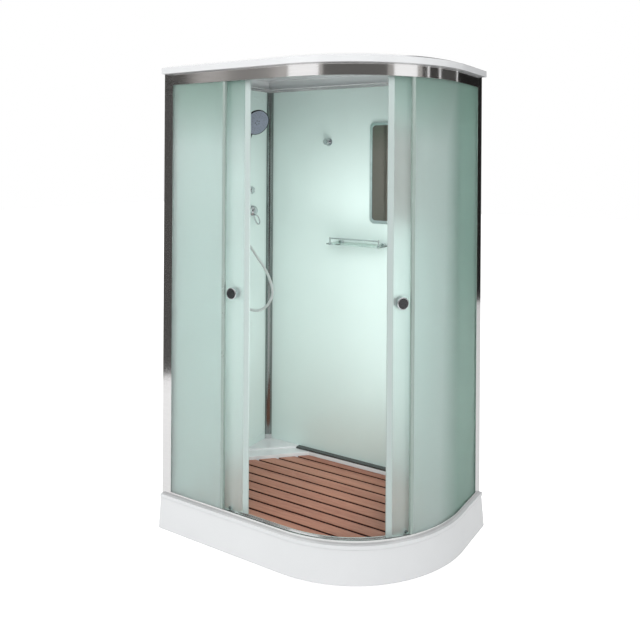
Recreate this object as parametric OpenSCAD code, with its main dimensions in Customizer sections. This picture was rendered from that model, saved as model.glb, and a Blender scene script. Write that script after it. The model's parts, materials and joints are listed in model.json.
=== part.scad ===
// Quadrant shower cabin: tray, framed glass front with two sliding doors, wall panels, roof and fittings.
// X runs along the back wall, Y from the front to the back wall, Z up.
// The origin is the centre of the footprint.
// An inset is a distance inwards from the outline of the foot of the apron.

/* [Cabin] */
// Width along the back wall
cabin_w = 1200; // [1150:10:1300]
// Depth along the left wall
cabin_d = 800; // [780:10:900]
// Radius of the rounded front corner
corner_r = 550; // [530:5:560]
// Height of the tray's rim above the floor
tray_h = 150; // [145:1:190]
// Height of the top of the frame above the floor
frame_top = 2000; // [1950:10:2100]

/* [Tray] */
// Depth of the basin below the rim
basin_depth = 53; // [48:1:60]
// Thickness of the tray's acrylic shell
tray_t = 5; // [4:0.5:7]
// Inset of the rim's outer edge
rim_inset = 8; // [6:1:10]
// Height of the lip that hangs from the rim's edge
rim_lip_h = 15; // [12:1:20]
// Width of the rim along the two walls
wall_rim_w = 50; // [48:1:60]
// Inset of the basin's front edge
basin_inset = 66; // [64:1:74]
// Legs of the slanted back left corner of the basin
chamfer = 250; // [200:10:280]
// Height of the raised ledge in the back left corner
ledge_h = 8; // [6:1:10]
// Distance of the ledge from the slanted edge, along X
ledge_gap = 80; // [60:5:100]
// Thickness of the apron
apron_t = 4; // [3:0.5:6]
// Gap between the apron and the floor
apron_gap = 3; // [2:1:8]
// Side of the square steel tubes under the tray
tube = 25; // [20:1:30]
// Distance of the back tube from the back
frame_back = 100; // [90:5:115]
// Distance of the left tube from the left side
frame_left = 80; // [70:5:95]
// Distance of the slanted tube's back end in front of the arc's centre, along Y
frame_turn = 90; // [80:5:105]
// Distance of the front tube from the front
frame_front = 150; // [140:5:175]
// Distance of the right tube from the right side
frame_right = 120; // [110:5:140]
// Distance of the slanted tube's front end from the arc's centre, along X
frame_bend = 200; // [180:5:235]
// Place of the middle tube along X
frame_mid_x = -60; // [-80:5:-40]
// Distance of the left apron bracket from the left side
bracket_left = 200; // [160:10:300]
// Distance of the middle apron bracket from the arc's start
bracket_mid = 50; // [30:5:90]
// Distance of the back apron bracket from the back
bracket_back = 180; // [140:10:240]
// Radius of a foot
foot_r = 24; // [20:1:30]
// Height of a foot
foot_h = 12; // [10:1:16]
// Radius of a threaded leg
leg_r = 6; // [5:1:8]

/* [Duckboard] */
// Thickness of the slats
slat_t = 14; // [12:1:18]
// Distance from one slat to the next
slat_pitch = 70; // [60:1:80]
// Gap between slats
slat_gap = 13; // [5:1:16]
// Width of the cross battens
batten_w = 40; // [30:1:50]
// Distance of the left batten from the left side
batten_left = 190; // [170:5:220]
// Distance of the right batten from the arc's centre, along X
batten_right = 240; // [200:5:280]
// Gap between the duckboard and the basin's wall
board_gap = 3; // [2:0.5:6]

/* [Drain] */
// Distance of the drain from the left side
drain_left = 300; // [270:5:350]
// Place of the drain along Y
drain_y = 120; // [80:5:150]
// Radius of the drain's cup
drain_r = 45; // [40:1:50]
// Radius of the outlet pipe
outlet_r = 20; // [16:1:22]
// Length of the outlet pipe's plain end
outlet_end = 80; // [60:5:82]

/* [Frame] */
// Inset of the outer face of rails and posts
rail_inset = 22; // [20:1:24]
// Height of the top rail
top_rail_h = 48; // [44:1:56]
// Height of the bottom rail's outer wall
foot_rail_h = 14; // [12:1:16]
// Height of the track lip on the bottom rail
track_h = 8; // [7:1:9]
// Wall thickness of the rails
rail_t = 2.5; // [2:0.5:3]
// Width of the wall posts in front, where they hold the fixed glass
post_w = 50; // [40:1:56]
// Width of the wall posts behind the fixed glass
post_back_w = 28; // [24:1:32]
// Distance of the wall panels' faces from the outside
wall_inset = 18; // [16:1:22]
// Thickness of the wall panels
panel_t = 4; // [3:0.5:5]
// Size of the profile along the panels' top edges
cornice = 16; // [14:1:20]
// Radius of the rounded cover in the corner
column_r = 26; // [22:1:30]
// Height of the plastic foot under the corner cover
column_foot_h = 22; // [16:1:30]
// Height of the flat strip along the foot of the back wall
foot_strip_h = 8; // [6:1:10]
// Height of the raised field on the left wall
field_t = 2; // [1:0.5:3]

/* [Glass and doors] */
// Thickness of the glass
glass_t = 5; // [4:0.5:6]
// Angle on the arc where the right fixed glass starts
right_fixed_angle = 57.5; // [56:0.5:60]
// Angle on the arc where the closed doors meet
meet_angle = 11; // [9:0.5:13]
// Inset of the outer face of the door glass
door_inset = 49; // [48:0.5:50]
// How far the open left door's edge stands out past the left fixed glass
left_reveal = 112.118; // [110:1:200]
// Distance of the open left door's back edge from the left side
left_park = 40; // [38:1:60]
// Angle by which the right door stands open
right_open = 35.5; // [20:0.5:35.5]
// Overlap of a closed door with the fixed glass
door_overlap = 3; // [2:0.5:5]
// Nose of a door's leading seal beyond its glass
seal_nose = 12; // [10:1:15]
// Grip of a seal on the glass
seal_grip = 12; // [10:1:16]
// Nose of a fixed glass's seal beyond its glass
fixed_nose = 4; // [3.5:0.5:6]
// Grip of a fixed glass's seal
fixed_grip = 8; // [6:1:12]
// Height of the door knobs
knob_z = 1067; // [950:1:1200]
// Radius of the door knobs
knob_r = 25; // [22:0.5:30]
// Distance of the left knob from the doors' meeting line
left_knob_back = 74; // [62:1:75]
// Distance of the right knob from the doors' meeting line
right_knob_back = 57; // [50:1:58]

/* [Rollers] */
// Radius of a roller's rim
wheel_r = 10; // [9.5:0.25:10.5]
// Depth of a roller's groove
groove = 2.5; // [2:0.25:3]
// Width of a roller
wheel_w = 7; // [6.5:0.25:7.5]
// Radius of a roller's axle
axle_r = 3; // [2.5:0.25:3.5]
// Running clearance between roller and axle
bore_play = 0.05; // [0.03:0.01:0.08]
// Gap between the glass and a roller
wheel_gap = 2; // [1.5:0.25:2.5]
// Distance of the leading rollers from the doors' meeting line
lead_back = 85; // [82:1:95]
// Distance of the trailing rollers from the glass edge
trail_back = 60; // [50:1:70]

/* [Roof] */
// Height of the roof's rim
roof_rim = 26; // [22:1:36]
// Height of the roof's crown above the frame
roof_h = 50; // [42:1:70]
// Width of the rounded shoulder
shoulder = 150; // [120:5:200]
// Wall thickness of the roof
roof_t = 4; // [3:0.5:6]

/* [Back wall fittings] */
// Left edge of the mirror
mirror_x = 26; // [0:2:60]
// Distance of the mirror's top below the top of the frame
mirror_drop = 187; // [110:1:210]
// Width of the mirror
mirror_w = 350; // [300:5:400]
// Height of the mirror
mirror_h = 490; // [440:5:520]
// Corner radius of the mirror
mirror_r = 26; // [15:1:40]
// Width of the mirror's frame
mirror_edge = 16; // [10:1:24]
// Left end of the shelf
shelf_x = -159; // [-180:2:-150]
// Distance of the shelf's top face below the top of the frame
shelf_drop = 776; // [760:2:800]
// Length of the shelf
shelf_l = 294; // [270:2:320]
// Depth of the shelf
shelf_d = 107; // [90:1:120]
// Thickness of the shelf's glass
shelf_t = 6; // [5:0.5:8]
// Height of the shelf's guard rail
guard_h = 24; // [20:1:30]
// Place of the robe hook along X
hook_x = -211; // [-240:2:-190]
// Distance of the robe hook below the top of the frame
hook_drop = 279; // [250:1:310]

/* [Water fittings] */
// Place of mixer and diverter along Y
mixer_y = 205; // [195:1:215]
// Height of the mixer
mixer_z = 1369; // [1355:1:1380]
// Height of the diverter
diverter_z = 1474; // [1460:1:1490]
// Distance from the mixer's axis to each inlet's axis
inlet_offset = 18; // [17:0.5:20]
// Outer radius of the inlets' half inch threads
inlet_r = 10.5; // [10:0.1:10.6]
// Radius of the mixer's ball
ball_r = 24; // [22:0.5:25]
// Centre of the hose elbow along Y
elbow_y = 55; // [50:1:60]
// Height of the hose elbow
elbow_z = 1335; // [1325:1:1345]
// Distance of the hose elbow's mouth from the wall
elbow_out = 30; // [28:1:34]
// Place of the hand shower's holder along Y
holder_y = 94; // [90:1:98]
// Distance of the hand shower's holder below the top of the frame
holder_drop = 314; // [308:1:320]
// Distance of the hand shower's holder from the wall
holder_out = 60; // [58:0.5:62]
// Lean of the hand shower's handle
lean = 26; // [25:0.5:27]
// Turn of the hand shower about its handle
spin = 20; // [0:1:40]
// Radius of the hand shower's head
head_r = 64; // [55:1:70]
// Radius of the handle at the holder
handle_r = 12; // [11:0.25:13]
// Radius of the hose
hose_r = 7; // [6:0.25:8]

/* [Hidden] */

smooth = 120;
air = 0.3;

// Plan of the cabin
left = -cabin_w / 2;
right = cabin_w / 2;
front = -cabin_d / 2;
back = cabin_d / 2;
arc_x = right - corner_r;
arc_y = front + corner_r;

drain_x = left + drain_left;
// Levels
floor_z = tray_h - basin_depth;
board_top = tray_h - 15;
rail_web_z = tray_h + rail_t;
top_rail_z = frame_top - top_rail_h;
mirror_z = frame_top - mirror_drop - mirror_h;
shelf_z = frame_top - shelf_drop;
hook_z = frame_top - hook_drop;
holder_z = frame_top - holder_drop;
shelf_lip_z = top_rail_z + 11;
top_track_z = shelf_lip_z + rail_t + 7.5;
bottom_track_z = tray_h + track_h;
groove_r = wheel_r - groove;
top_wheel_z = top_track_z + groove_r + air;
bottom_wheel_z = bottom_track_z + groove_r + air;

// Insets across the front, from outside to inside
fixed_inset = rail_inset + 4.5;
channel_inset = fixed_inset + glass_t + 2;
door_inner = door_inset + glass_t;
wheel_inset = door_inner + wheel_gap;
track_inset = wheel_inset + wheel_w / 2;
rail_inner = wheel_inset + wheel_w + 3 + rail_t;
door_mid_r = corner_r - door_inset - glass_t / 2;
fixed_top = frame_top - rail_t - 8;

// Wall faces
wall_x = left + wall_inset;
wall_y = back - wall_inset;

// Ends of the glass, with the doors closed
right_trail_angle = right_fixed_angle + arc_deg(door_overlap);
lead_angle_left = meet_angle - arc_deg(seal_nose);
lead_angle_right = meet_angle + arc_deg(seal_nose);
meet_x = arc_x + door_mid_r * sin(meet_angle);
// The fixed glass and the door share the straight front, so that the open door just fits behind
left_fixed_edge = left + (left_park + meet_x - left + door_overlap - left_reveal) / 2;
left_trail_x = left_fixed_edge - door_overlap;
left_open = meet_x - left_fixed_edge - left_reveal;
door_bottom = rail_web_z + 3;
door_top = frame_top - rail_t - 5;

// Rollers and knobs, with the doors closed
left_lead_x = meet_x - lead_back;
left_wheel_trail_x = left_trail_x + trail_back;
right_lead_angle = meet_angle + arc_deg(lead_back);
right_wheel_trail_angle = right_trail_angle - arc_deg(trail_back);
left_knob_angle = meet_angle - arc_deg(left_knob_back);
right_knob_angle = meet_angle + arc_deg(right_knob_back);

// Hand shower
handle_low = -62;
head_z = 146;
head_out = 8;
holder_x = wall_x + holder_out;
nut_h = 22;
elbow_drop = 22;
elbow_lean = 30;

// Steel frame under the tray
frame_back_y = back - frame_back;
frame_front_y = front + frame_front;
frame_left_x = left + frame_left;
frame_right_x = right - frame_right;
frame_bend_x = arc_x + frame_bend;
frame_turn_y = arc_y - frame_turn;
frame_top_z = floor_z - tray_t;

function arc_deg(length) = length / door_mid_r * 180 / PI;

// Outline of the cabin, with the rounded front set in by u and the wall sides by w
module plan(u, w = 0) {
    translate([left + w, front + u]) square([arc_x - left - w, cabin_d - u - w]);
    translate([arc_x, arc_y]) square([corner_r - u, back - w - arc_y]);
    translate([arc_x, arc_y]) intersection() {
        circle(r = corner_r - u, $fn = 2 * smooth);
        translate([0, -2 * corner_r]) square(2 * corner_r);
    }
}

// A box in the cross section of the front, from inset u0 to u1
module slab(u0, u1, z0, z1) {
    translate([-u1, z0]) square([u1 - u0, z1 - z0]);
}

// The three runs of the front: straight front, arc and straight side
module front_run(x0, x1) {
    translate([x1, front, 0]) rotate([90, 0, -90]) linear_extrude(x1 - x0) children();
}
module arc_run(a0, a1) {
    translate([arc_x, arc_y, 0]) rotate([0, 0, a0 - 90])
        rotate_extrude(angle = a1 - a0, $fn = 2 * smooth) translate([corner_r, 0]) children();
}
module side_run(y0, y1) {
    translate([right, y1, 0]) rotate([90, 0, 0]) linear_extrude(y1 - y0) children();
}
module wrap(x0 = left, y1 = back) {
    front_run(x0, arc_x) children();
    arc_run(0, 90) children();
    side_run(arc_y, y1) children();
}

// Local frames on the front, with +Z pointing inwards from the outline
module at_front(x, z) {
    translate([x, front, z]) rotate([-90, 0, 0]) children();
}
module at_arc(a, z) {
    translate([arc_x, arc_y, z]) rotate([0, 0, a]) translate([0, -corner_r, 0])
        rotate([-90, 0, 0]) children();
}

// The doors are drawn closed and then opened
module left_leaf() {
    translate([-left_open, 0, 0]) children();
}
module right_leaf() {
    translate([arc_x, arc_y, 0]) rotate([0, 0, right_open]) translate([-arc_x, -arc_y, 0]) children();
}

// Local frame on the left wall, with +Z pointing into the cabin
module at_left_wall(y, z) {
    translate([wall_x, y, z]) rotate([0, 90, 0]) children();
}
// Local frame on the back wall, with +Z pointing into the cabin
module at_back_wall(x, z) {
    translate([x, wall_y, z]) rotate([90, 0, 0]) children();
}
// Frame of the hand shower, with +Z up its handle and +X out of its face
module at_holder() {
    translate([holder_x, holder_y, holder_z]) rotate([0, lean, 0]) children();
}

// Basin outline, with its slanted back left corner, grown by g
module basin_plan(g = 0) {
    difference() {
        plan(basin_inset - g, wall_rim_w - g);
        translate([left + wall_rim_w, back - wall_rim_w]) rotate(45)
            translate([-chamfer, -chamfer / sqrt(2) + g, 0]) square([2 * chamfer, 2 * chamfer]);
    }
}

module tray() {
    color("white") difference() {
        union() {
            translate([0, 0, tray_h - tray_t]) linear_extrude(tray_t) plan(rim_inset);
            translate([0, 0, tray_h - rim_lip_h]) linear_extrude(rim_lip_h) difference() {
                plan(rim_inset);
                plan(rim_inset + apron_t);
            }
            translate([0, 0, floor_z - tray_t]) linear_extrude(basin_depth) basin_plan(tray_t);
            corner_ledge();
        }
        translate([0, 0, floor_z]) linear_extrude(basin_depth + 1) basin_plan();
        translate([drain_x, drain_y, floor_z - tray_t - 1])
            cylinder(r = drain_r - 5, h = tray_t + 2, $fn = 64);
    }
}

module corner_ledge() {
    far_x = left + wall_rim_w + chamfer - ledge_gap;
    far_y = back - wall_rim_w - chamfer + ledge_gap;
    translate([0, 0, tray_h - tray_t / 2]) linear_extrude(ledge_h + tray_t / 2)
        polygon([[wall_x, wall_y], [far_x, wall_y], [far_x, back - wall_rim_w + 14],
            [wall_x, far_y]]);
}

module apron() {
    tuck = tray_h - rim_lip_h + 7;
    top_u = (rim_inset + apron_t + air) * (tuck - apron_gap) / (tray_h - rim_lip_h - apron_gap);
    color("white") wrap()
        polygon([[0, apron_gap], [-apron_t, apron_gap], [-top_u - apron_t, tuck], [-top_u, tuck]]);
}

// Inset of the apron's inner face at height z
function apron_inner(z) = apron_t
    + (rim_inset + apron_t + air) * (z - apron_gap) / (tray_h - rim_lip_h - apron_gap);

module apron_brackets() {
    z = frame_top_z - tube;
    reach = apron_inner(z + 22) + air;
    bend = [frame_right_x - frame_bend_x, frame_turn_y - frame_front_y];
    bend_angle = atan2(bend[1], bend[0]);
    frame_u = corner_r - arc_frame_radius() - tube / 2;
    color("silver") {
        for (x = [left + bracket_left, arc_x - bracket_mid]) bracket_front(x, z, reach);
        at_arc(bend_angle, z) translate([0, 0, reach]) bracket_bar(frame_u - reach + 8);
        translate([right, back - bracket_back, z]) rotate([0, 0, 90]) rotate([-90, 0, 0])
            translate([0, 0, reach]) bracket_bar(right - frame_right_x - tube / 2 - reach + 8);
    }
}
module bracket_front(x, z, reach) {
    at_front(x, z) translate([0, 0, reach])
        bracket_bar(frame_front_y - front - tube / 2 - reach + 8);
}
// A flat bar that hangs under a tube, with a foot turned up along the apron
module bracket_bar(length) {
    translate([-15, 0, 0]) cube([30, 3, length]);
    translate([-15, -22, 0]) cube([30, 25, 2]);
}
// Distance of the slanted frame tube from the arc's centre
function arc_frame_radius() = let (
        dx = frame_right_x - frame_bend_x, dy = frame_turn_y - frame_front_y,
        px = frame_bend_x - arc_x, py = frame_front_y - arc_y)
    (px * dy - py * dx) / norm([dx, dy]);

module tray_frame() {
    z = frame_top_z - tube;
    half = tube / 2;
    slope = [frame_right_x - frame_bend_x, frame_turn_y - frame_front_y];
    color("dimgray") {
        translate([frame_left_x - half, frame_back_y - half, z])
            cube([frame_right_x - frame_left_x + tube, tube, tube]);
        translate([frame_left_x - half, frame_front_y - half, z])
            cube([frame_bend_x - frame_left_x + half, tube, tube]);
        for (x = [frame_left_x, frame_mid_x])
            translate([x - half, frame_front_y - half, z])
                cube([tube, frame_back_y - frame_front_y + tube, tube]);
        translate([frame_right_x - half, frame_turn_y, z])
            cube([tube, frame_back_y - frame_turn_y + half, tube]);
        translate([frame_bend_x, frame_front_y, z]) rotate([0, 0, atan2(slope[1], slope[0])])
            translate([0, -half, 0]) cube([norm(slope), tube, tube]);
        for (p = leg_places()) translate([p[0], p[1], z - 6]) cylinder(r = leg_r + 5, h = 8, $fn = 48);
    }
}
function leg_places() = [[frame_left_x, frame_back_y], [frame_mid_x, frame_back_y],
    [frame_right_x, frame_back_y], [frame_left_x, frame_front_y], [frame_mid_x, frame_front_y],
    [frame_bend_x - 10, frame_front_y], [frame_right_x, frame_turn_y + 10]];

module legs() {
    nut_z = frame_top_z - tube - 6;
    color("silver") for (p = leg_places()) translate([p[0], p[1], 0]) {
        translate([0, 0, foot_h - 4]) cylinder(r = leg_r, h = nut_z - foot_h + 4, $fn = 48);
        translate([0, 0, nut_z - 10]) cylinder(r = leg_r * 1.7, h = 10, $fn = 6);
        translate([0, 0, foot_h]) cylinder(r = leg_r * 1.7, h = 6, $fn = 6);
    }
}

module feet() {
    color("black") for (p = leg_places()) translate([p[0], p[1], 0]) difference() {
        rotate_extrude($fn = 64)
            polygon([[0, 0], [foot_r, 0], [foot_r, 4], [leg_r + 5, foot_h], [0, foot_h]]);
        translate([0, 0, foot_h - 4]) cylinder(r = leg_r, h = 5, $fn = 48);
    }
}

module drain_body() {
    cup_z = outlet_r * 2 - 20;
    pipe = back - drain_y - 5;
    color("gray") translate([drain_x, drain_y, 0]) {
        difference() {
            union() {
                translate([0, 0, cup_z]) cylinder(r = drain_r, h = frame_top_z - cup_z, $fn = 96);
                translate([0, 0, frame_top_z - 4]) cylinder(r = drain_r + 9, h = 4, $fn = 96);
                translate([0, 0, outlet_r + 20]) rotate([-90, 0, 0]) {
                    cylinder(r = outlet_r - 1, h = pipe, $fn = 64);
                    translate([0, 0, pipe - outlet_end])
                        cylinder(r = outlet_r, h = outlet_end, $fn = 64);
                }
            }
            translate([0, 0, cup_z + 3]) cylinder(r = drain_r - 3, h = frame_top_z, $fn = 96);
            translate([0, drain_r / 2, outlet_r + 20]) rotate([-90, 0, 0])
                cylinder(r = outlet_r - 3, h = back - drain_y, $fn = 64);
        }
    }
}

// Chrome cover with a ring of slots, on a collar that stands in the tray's hole
module drain_cover() {
    color("lightgray") translate([drain_x, drain_y, floor_z]) difference() {
        union() {
            rotate_extrude($fn = 96)
                polygon([[0, 0], [drain_r + 10, 0], [drain_r + 10, 1.5], [drain_r, 4], [0, 6]]);
            translate([0, 0, -tray_t]) cylinder(r = drain_r - 5.3, h = tray_t + 1, $fn = 96);
        }
        translate([0, 0, -tray_t - 1]) cylinder(r = drain_r - 9, h = tray_t + 2, $fn = 96);
        for (k = [0:7]) rotate([0, 0, k * 45])
            translate([drain_r * 0.45, -2.5, -1]) cube([drain_r * 0.3, 5, 9]);
    }
}

board_back_y = back - wall_rim_w - board_gap;

// Slats run along X, and the outer ones follow the basin's outline
module duckboard_slats() {
    count = ceil((board_back_y - front) / slat_pitch);
    color("peru") translate([0, 0, board_top - slat_t]) linear_extrude(slat_t) intersection() {
        basin_plan(-board_gap);
        for (k = [0:count - 1])
            translate([left, board_back_y - (k + 1) * slat_pitch + slat_gap + slat_pitch - 52])
                square([cabin_w, slat_pitch - slat_gap]);
    }
}

module duckboard_battens() {
    z = floor_z + air;
    color("sienna") translate([0, 0, z]) linear_extrude(board_top - slat_t - z) intersection() {
        basin_plan(-board_gap - 12);
        for (x = [left + batten_left, frame_mid_x, arc_x + batten_right])
            translate([x - batten_w / 2, front]) square([batten_w, cabin_d]);
    }
}

// A rail between the posts' back parts, cut off at their wider front parts
module past_posts() {
    depth = channel_inset + rail_t - rail_inset + 3;
    length = post_w - post_back_w + 1;
    difference() {
        wrap(left + post_back_w, back - post_back_w) children();
        translate([left + post_back_w - 1, front + rail_inset - 3, tray_h - 1])
            cube([length, depth, frame_top]);
        translate([right - channel_inset - rail_t, back - post_w, tray_h - 1])
            cube([depth, length, frame_top]);
    }
}
module top_rail() {
    color("silver") past_posts() {
        slab(rail_inset, rail_inner, frame_top - rail_t, frame_top);
        slab(rail_inset, rail_inset + rail_t, top_rail_z, frame_top);
        slab(rail_inset - 1.5, rail_inset + 1, frame_top - 5, frame_top);
        slab(channel_inset, channel_inset + rail_t, top_rail_z, frame_top);
        slab(rail_inner - rail_t, rail_inner, shelf_lip_z, frame_top);
        slab(track_inset - 1.25, rail_inner, shelf_lip_z, shelf_lip_z + rail_t);
        slab(track_inset - 1.25, track_inset + 1.25, shelf_lip_z, top_track_z);
    }
}

module bottom_rail() {
    color("silver") past_posts() {
        slab(rail_inset, track_inset + 1.25, tray_h, rail_web_z);
        slab(rail_inset, rail_inset + rail_t, tray_h, tray_h + foot_rail_h);
        slab(channel_inset, channel_inset + rail_t, tray_h, tray_h + foot_rail_h - 2);
        slab(track_inset - 1.25, track_inset + 1.25, tray_h, bottom_track_z);
    }
}

// Section of a wall post: hollow, with a channel for the fixed glass
module post_section() {
    difference() {
        union() {
            translate([0, -rail_inner]) square([post_back_w, rail_inner - rail_inset]);
            translate([0, -channel_inset - rail_t])
                square([post_w, channel_inset + rail_t - rail_inset]);
        }
        translate([post_w - 12, -channel_inset]) square([13, channel_inset - rail_inset - rail_t]);
        translate([rail_t, -rail_inner + rail_t])
            square([post_back_w - 2 * rail_t, rail_inner - channel_inset - 2 * rail_t]);
    }
}
module left_post() {
    color("silver") translate([left, front, tray_h]) linear_extrude(frame_top - tray_h)
        mirror([0, 1]) post_section();
}
module right_post() {
    color("silver") translate([right, back, tray_h]) linear_extrude(frame_top - tray_h)
        rotate(-90) post_section();
}

module wall_top_profile() {
    z = frame_top - cornice;
    color("silver") {
        translate([left, wall_y - 2, z]) cube([cabin_w - rail_inner, wall_inset + 2, cornice]);
        translate([left, front + rail_inner, z])
            cube([wall_inset + 2, cabin_d - rail_inner - wall_inset, cornice]);
    }
}

module wall_foot_strip() {
    x = left + wall_rim_w + chamfer - ledge_gap;
    y = back - wall_rim_w + 2.5;
    color("dimgray") translate([x + air, y, tray_h])
        cube([right - rail_inner - x - 2 * air, wall_y - y, foot_strip_h]);
}

module corner_column() {
    z = tray_h + ledge_h + column_foot_h;
    color("silver") translate([wall_x, wall_y, z]) linear_extrude(frame_top - cornice - z) intersection() {
        difference() {
            circle(r = column_r, $fn = smooth);
            circle(r = column_r - 2, $fn = smooth);
        }
        translate([0, -column_r]) square(column_r);
    }
}

module corner_column_foot() {
    color("lightgray") translate([wall_x, wall_y, tray_h + ledge_h])
    linear_extrude(column_foot_h) intersection() {
        circle(r = column_r + 1, $fn = smooth);
        translate([0, -column_r - 1]) square(column_r + 1);
    }
}

module back_wall() {
    color("honeydew") translate([left + wall_inset - panel_t, wall_y, tray_h])
        cube([cabin_w - rail_inner - wall_inset + panel_t, panel_t, frame_top - cornice - tray_h]);
}

// The left panel has a raised field with rounded corners, and holes for the mixer's tails
module left_wall() {
    y0 = front + rail_inner;
    width = wall_y - y0;
    height = frame_top - cornice - tray_h;
    color("honeydew") difference() {
        union() {
            translate([wall_x - panel_t, y0, tray_h]) cube([panel_t, width, height]);
            translate([wall_x, y0 + width / 2, tray_h + height / 2]) rotate([90, 0, 90])
                linear_extrude(field_t) field_ring(width - 2 * column_r - 8, height - 60, 40, 8);
        }
        for (side = [-1, 1]) translate([wall_x - panel_t - 1, mixer_y + side * inlet_offset, mixer_z])
            rotate([0, 90, 0]) cylinder(r = inlet_r + air, h = panel_t + 2, $fn = 64);
        for (p = pipe_holes()) translate([wall_x - panel_t - 1, p[0], p[1]])
            rotate([0, 90, 0]) cylinder(r = pipe_r + air, h = panel_t + 2, $fn = 48);
    }
}
module rounded_box(w, h, r) {
    square([w - 2 * r, h], center = true);
    square([w, h - 2 * r], center = true);
    for (x = [-1, 1], y = [-1, 1]) translate([x * (w / 2 - r), y * (h / 2 - r)]) circle(r = r, $fn = 64);
}
module field_ring(w, h, r, edge) {
    difference() {
        rounded_box(w, h, r);
        rounded_box(w - 2 * edge, h - 2 * edge, r - edge);
    }
}

module fixed_pane() {
    slab(fixed_inset, fixed_inset + glass_t, rail_web_z, fixed_top);
}
module left_fixed_glass() {
    color("lightcyan") front_run(left + post_w - 11, left_fixed_edge) fixed_pane();
}
module right_fixed_glass() {
    far = 2 * cabin_w;
    end_y = back - post_w + 11;
    color("lightcyan") translate([0, 0, rail_web_z]) linear_extrude(fixed_top - rail_web_z) intersection() {
        difference() {
            plan(fixed_inset);
            plan(fixed_inset + glass_t);
        }
        polygon([
            [arc_x, arc_y],
            [arc_x + far * sin(right_fixed_angle), arc_y - far * cos(right_fixed_angle)],
            [far, end_y],
            [arc_x, end_y]]);
    }
}

// Grip profile on the free edge of each fixed glass, with a fin towards the door
module fixed_seal_section() {
    slab(fixed_inset - 2, fixed_inset + glass_t + 2, tray_h + foot_rail_h + air, top_rail_z - air);
}
module fixed_glass_seals() {
    nose = arc_deg(fixed_nose);
    grip = arc_deg(fixed_grip);
    fin_z0 = tray_h + foot_rail_h + air;
    fin_z1 = top_rail_z - air;
    fin_u = fixed_inset + glass_t + 2;
    color("whitesmoke") difference() {
        union() {
            front_run(left_fixed_edge - fixed_grip, left_fixed_edge + fixed_nose) fixed_seal_section();
            front_run(left_fixed_edge + 1, left_fixed_edge + 3) slab(fin_u - 1, fin_u + 6, fin_z0, fin_z1);
            arc_run(right_fixed_angle - nose, right_fixed_angle + grip) fixed_seal_section();
            arc_run(right_fixed_angle - nose * 0.7, right_fixed_angle - nose * 0.4)
                slab(fin_u - 1, fin_u + 6, fin_z0, fin_z1);
        }
        front_run(left_fixed_edge - fixed_grip - 1, left_fixed_edge) fixed_pane();
        arc_run(right_fixed_angle, right_fixed_angle + 2 * grip) fixed_pane();
    }
}

module door_pane() {
    slab(door_inset, door_inner, door_bottom, door_top);
}
module glass_hole() {
    translate([0, 0, door_inset - 1]) cylinder(r = axle_r + 1.5, h = glass_t + 2, $fn = 48);
}
module left_door_glass() {
    color("lightcyan") left_leaf() difference() {
        union() {
            front_run(left_trail_x, arc_x) door_pane();
            arc_run(0, lead_angle_left) door_pane();
        }
        for (x = [left_lead_x, left_wheel_trail_x], z = [top_wheel_z, bottom_wheel_z])
            at_front(x, z) glass_hole();
        at_arc(left_knob_angle, knob_z) glass_hole();
        track_clearance();
    }
}
// Cuts the leaf's curved end short beside the tracks, which run straight to the left
module track_clearance() {
    arc_run(5.5, meet_angle + 2) {
        slab(door_inset - 6, door_inner + 6, tray_h, bottom_track_z + 0.5);
        slab(door_inset - 6, door_inner + 6, shelf_lip_z - 0.5, frame_top);
    }
}
module right_door_glass() {
    color("lightcyan") right_leaf() difference() {
        arc_run(lead_angle_right, right_trail_angle) door_pane();
        for (a = [right_lead_angle, right_wheel_trail_angle], z = [top_wheel_z, bottom_wheel_z])
            at_arc(a, z) glass_hole();
        at_arc(right_knob_angle, knob_z) glass_hole();
    }
}

// Leading seals meet nose to nose, trailing ones have a fin towards the fixed glass
module door_seal_section() {
    slab(door_inset - 2, door_inner + 2, door_bottom, door_top);
}
module left_door_seals() {
    gap = arc_deg(air);
    color("white") left_leaf() difference() {
        union() {
            arc_run(lead_angle_left - arc_deg(seal_grip), meet_angle - gap) door_seal_section();
            front_run(left_trail_x - 3, left_trail_x + seal_grip) door_seal_section();
            front_run(left_trail_x - 3, left_trail_x - 1)
                slab(door_inset - 5, door_inset, tray_h + foot_rail_h + 1, top_rail_z - 1);
        }
        front_run(left_trail_x, arc_x + 1) door_pane();
        arc_run(0, lead_angle_left) door_pane();
        track_clearance();
    }
}
module right_door_seals() {
    gap = arc_deg(air);
    color("white") right_leaf() difference() {
        union() {
            arc_run(meet_angle + gap, lead_angle_right + arc_deg(seal_grip)) door_seal_section();
            arc_run(right_trail_angle - arc_deg(seal_grip), right_trail_angle + arc_deg(3))
                door_seal_section();
            arc_run(right_trail_angle + arc_deg(1), right_trail_angle + arc_deg(3))
                slab(door_inset - 5, door_inset, tray_h + foot_rail_h + 1, top_rail_z - 1);
        }
        arc_run(lead_angle_right, right_trail_angle) door_pane();
    }
}

// Round knob with a slim neck, its face recessed for a dark inlay
module knob() {
    rotate_extrude($fn = smooth) difference() {
        union() {
            square([knob_r * 0.45, 8]);
            translate([0, 8]) square([knob_r - 3, 14]);
            translate([0, 11]) square([knob_r, 8]);
            for (z = [11, 19]) translate([knob_r - 3, z]) circle(r = 3, $fn = 48);
        }
        translate([0, 21.2]) square([knob_r - 3.5, 4]);
    }
}
module knob_pair() {
    translate([0, 0, door_inset]) rotate([180, 0, 0]) knob();
    translate([0, 0, door_inner + air]) knob();
    translate([0, 0, door_inset - 1]) cylinder(r = axle_r + 0.5, h = glass_t + 2, $fn = 48);
}
module left_door_knobs() {
    color("gray") left_leaf() at_arc(left_knob_angle, knob_z) knob_pair();
}
module right_door_knobs() {
    color("gray") right_leaf() at_arc(right_knob_angle, knob_z) knob_pair();
}

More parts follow.
